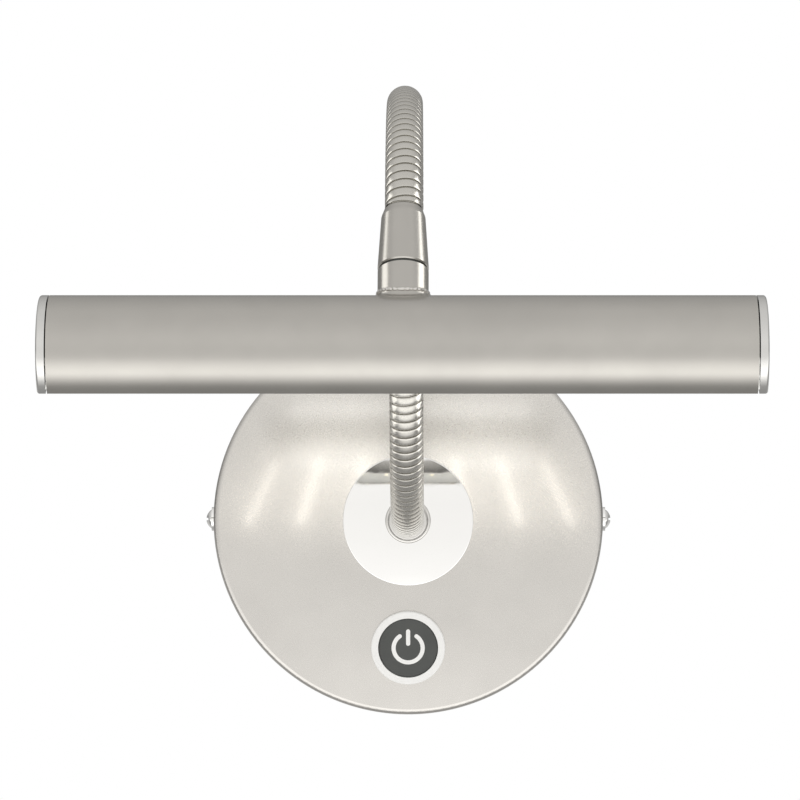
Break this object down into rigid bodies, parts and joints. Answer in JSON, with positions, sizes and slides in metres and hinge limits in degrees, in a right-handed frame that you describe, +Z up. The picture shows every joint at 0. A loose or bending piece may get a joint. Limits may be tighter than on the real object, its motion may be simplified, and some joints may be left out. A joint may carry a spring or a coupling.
{
  "type": "picture light",
  "caption": "Wall picture light: round domed canopy with a push switch, a wound flexible neck and a tubular downward LED head on a swivel.",
  "frame": {"origin": "centre of the canopy on the wall plane", "axes": "+Y into the wall, +Z up, +X to the viewer's right"},
  "size_m": [0.1914, 0.2174, 0.185],
  "materials": {
    "satin_nickel": "satin brushed nickel plate",
    "chrome": "polished chrome plate",
    "zinc_steel": "bright zinc plated steel",
    "brass": "plain brass",
    "white_plastic": "smooth white moulding",
    "dark_plastic": "fine matt moulding",
    "circuit_board": "solder mask",
    "board_white": "white solder mask",
    "led": "yellow phosphor over a white package",
    "lens": "lightly frosted clear strip",
    "aluminium": "plain rolled bar",
    "foam": "adhesive foam",
    "cable": "matt black sheath"
  },
  "bodies": {
    "wall": {"canopy_cover": "satin_nickel", "wall_bracket": "zinc_steel", "side_screws": "chrome", "rosette": "chrome", "neck_base_fitting": "chrome", "lock_washer": "zinc_steel", "hex_nut": "zinc_steel", "driver_case": "white_plastic", "driver_lid": "white_plastic", "driver_board": "circuit_board", "driver_pad": "foam", "terminal_block": "white_plastic", "terminal_screws": "zinc_steel", "earth_screw": "brass", "switch_bezel": "white_plastic", "switch_ring_nut": "dark_plastic", "switch_housing": "dark_plastic", "switch_board": "circuit_board", "switch_spring": "zinc_steel", "supply_lead": "cable", "led_lead": "cable", "switch_lead": "cable"},
    "button": {"button_cap": "dark_plastic", "power_symbol": "white_plastic"},
    "neck_01": {"neck_link_01": "satin_nickel", "neck_cable_01": "cable"},
    "neck_02": {"neck_link_02": "satin_nickel", "neck_cable_02": "cable"},
    "neck_03": {"neck_link_03": "satin_nickel", "neck_cable_03": "cable"},
    "neck_04": {"neck_link_04": "satin_nickel", "neck_cable_04": "cable"},
    "neck_05": {"neck_link_05": "satin_nickel", "neck_cable_05": "cable"},
    "neck_06": {"neck_link_06": "satin_nickel", "neck_cable_06": "cable"},
    "neck_07": {"neck_link_07": "satin_nickel", "neck_cable_07": "cable"},
    "neck_08": {"neck_link_08": "satin_nickel", "neck_cable_08": "cable"},
    "neck_09": {"neck_link_09": "satin_nickel", "neck_cable_09": "cable", "neck_ferrule": "satin_nickel", "swivel_bush": "dark_plastic"},
    "head": {"lamp_tube": "satin_nickel", "end_cap_left": "chrome", "end_cap_right": "chrome", "led_carrier": "aluminium", "led_board": "board_white", "led_chips": "led", "board_screws": "zinc_steel", "lens_strip": "lens", "swivel_stub": "satin_nickel", "swivel_pivot": "zinc_steel", "swivel_nut": "zinc_steel", "wave_washer": "zinc_steel", "head_lock_nut": "zinc_steel", "head_cable": "cable"}
  },
  "joints": [
    {"name": "neck_lower_bend", "type": "hinge", "parent": "wall", "child": "neck_01", "pos_m": [0, -0.0325, 0], "axis": [1, 0, 0], "range_deg": [-8, 8]},
    {"name": "neck_sway", "type": "hinge", "parent": "neck_01", "child": "neck_02", "pos_m": [0, -0.05911, 0.00598], "axis": [0, 0.4275, 0.904], "range_deg": [-6, 6]},
    {"name": "neck_lower_bend_2", "type": "hinge", "parent": "neck_02", "child": "neck_03", "pos_m": [0, -0.08062, 0.02275], "axis": [1, 0, 0], "range_deg": [-8, 8]},
    {"name": "neck_sway_2", "type": "hinge", "parent": "neck_03", "child": "neck_04", "pos_m": [0, -0.09289, 0.04712], "axis": [0, 0.97, 0.2432], "range_deg": [-6, 6]},
    {"name": "neck_upper_bend", "type": "hinge", "parent": "neck_04", "child": "neck_05", "pos_m": [0, -0.09357, 0.07438], "axis": [1, 0, 0], "range_deg": [-8, 8]},
    {"name": "neck_sway_3", "type": "hinge", "parent": "neck_05", "child": "neck_06", "pos_m": [0, -0.09575, 0.09645], "axis": [0, 0.9238, 0.3828], "range_deg": [-6, 6]},
    {"name": "neck_upper_bend_2", "type": "hinge", "parent": "neck_06", "child": "neck_07", "pos_m": [0, -0.10982, 0.11359], "axis": [1, 0, 0], "range_deg": [-8, 8]},
    {"name": "neck_sway_4", "type": "hinge", "parent": "neck_07", "child": "neck_08", "pos_m": [0, -0.13104, 0.12004], "axis": [0, 0.0002, 1], "range_deg": [-6, 6]},
    {"name": "neck_upper_bend_3", "type": "hinge", "parent": "neck_08", "child": "neck_09", "pos_m": [0, -0.16192, 0.11132], "axis": [1, 0, 0], "range_deg": [-8, 8]},
    {"name": "head_swivel", "type": "hinge", "parent": "neck_09", "child": "head", "pos_m": [0, -0.19227, 0.07091], "axis": [0, -0.4535, -0.8913], "range_deg": [-60, 60]},
    {"name": "button_press", "type": "slide", "parent": "wall", "child": "button", "axis": [0, 0.9935, 0.1142], "range_m": [0, 0.001], "stiffness_N_per_m": 150, "deforming": ["switch_spring"]}
  ],
  "couplings": [
    {"joint": "neck_lower_bend_2", "follows": "neck_lower_bend", "ratio": 1},
    {"joint": "neck_sway_2", "follows": "neck_sway", "ratio": 1},
    {"joint": "neck_sway_3", "follows": "neck_sway", "ratio": 1},
    {"joint": "neck_upper_bend_2", "follows": "neck_upper_bend", "ratio": 1},
    {"joint": "neck_sway_4", "follows": "neck_sway", "ratio": 1},
    {"joint": "neck_upper_bend_3", "follows": "neck_upper_bend", "ratio": 1}
  ]
}
